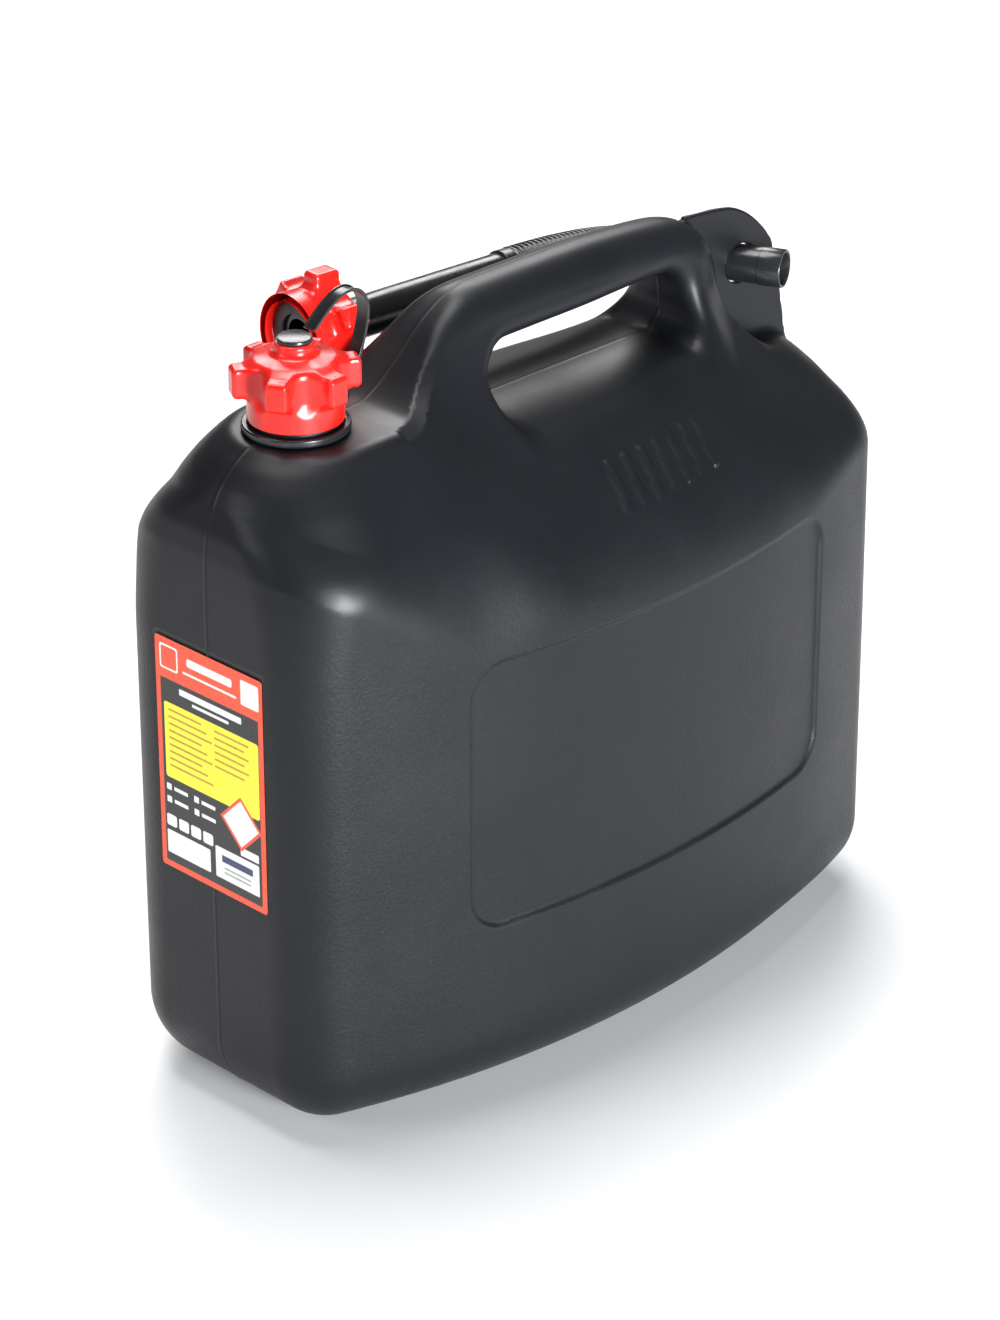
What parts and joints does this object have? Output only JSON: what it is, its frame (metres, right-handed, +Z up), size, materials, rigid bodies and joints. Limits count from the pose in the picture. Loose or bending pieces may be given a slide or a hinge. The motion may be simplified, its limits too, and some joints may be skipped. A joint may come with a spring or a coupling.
{
  "type": "jerry can",
  "caption": "Portable fuel can with a bowed hollow body, moulded carry handle, tethered screw cap and a flexible pouring spout stored behind the handle.",
  "frame": {"origin": "middle of the underside, on the surface the can stands on", "axes": "+X along the can from the neck end to the spout's tip end, +Y through its thickness towards the stored spout, +Z up"},
  "size_m": [0.41, 0.205, 0.4054],
  "materials": {
    "can_plastic": "satin, fine grain",
    "label_print": "printed film",
    "trim_plastic": "smooth moulded",
    "cap_plastic": "smooth moulded",
    "seal_rubber": "matte",
    "spout_plastic": "smooth moulded"
  },
  "bodies": {
    "can": {"can_body": "can_plastic", "label": "label_print", "tether_ring": "trim_plastic", "tether_strap": "trim_plastic"},
    "tether_end": {"tether_button": "trim_plastic"},
    "cap": {"filler_cap": "cap_plastic", "cap_seal": "seal_rubber"},
    "spout_tip": {"spout_outlet": "spout_plastic", "air_tube": "trim_plastic", "spout_hose": "spout_plastic"},
    "spout": {"spout_pipe": "spout_plastic", "spout_seal": "seal_rubber"},
    "nut": {"spout_nut": "cap_plastic"}
  },
  "joints": [
    {"name": "cap_lift", "type": "slide", "parent": "can", "child": "tether_end", "axis": [0, 0, 1], "range_m": [0, 0.008], "deforming": ["tether_strap"]},
    {"name": "cap_turn", "type": "hinge", "parent": "tether_end", "child": "cap", "pos_m": [-0.1455, 0, 0.36], "axis": [0, 0, 1], "range_deg": [0, 725]},
    {"name": "spout_pull", "type": "slide", "parent": "can", "child": "spout_tip", "axis": [-0.3987, 0.9171, 0], "range_m": [0, 0.06]},
    {"name": "spout_bend", "type": "hinge", "parent": "spout_tip", "child": "spout", "pos_m": [0.1426, 0.0404, 0.3565], "axis": [0, 0, -1], "range_deg": [0, 62], "deforming": ["spout_hose"]},
    {"name": "nut_turn", "type": "hinge", "parent": "spout", "child": "nut", "pos_m": [-0.0937, 0.059, 0.3565], "axis": [0.9969, -0.0785, 0], "continuous": true}
  ],
  "couplings": [
    {"joint": "cap_turn", "follows": "cap_lift", "rad_per_m": 1570.8}
  ]
}
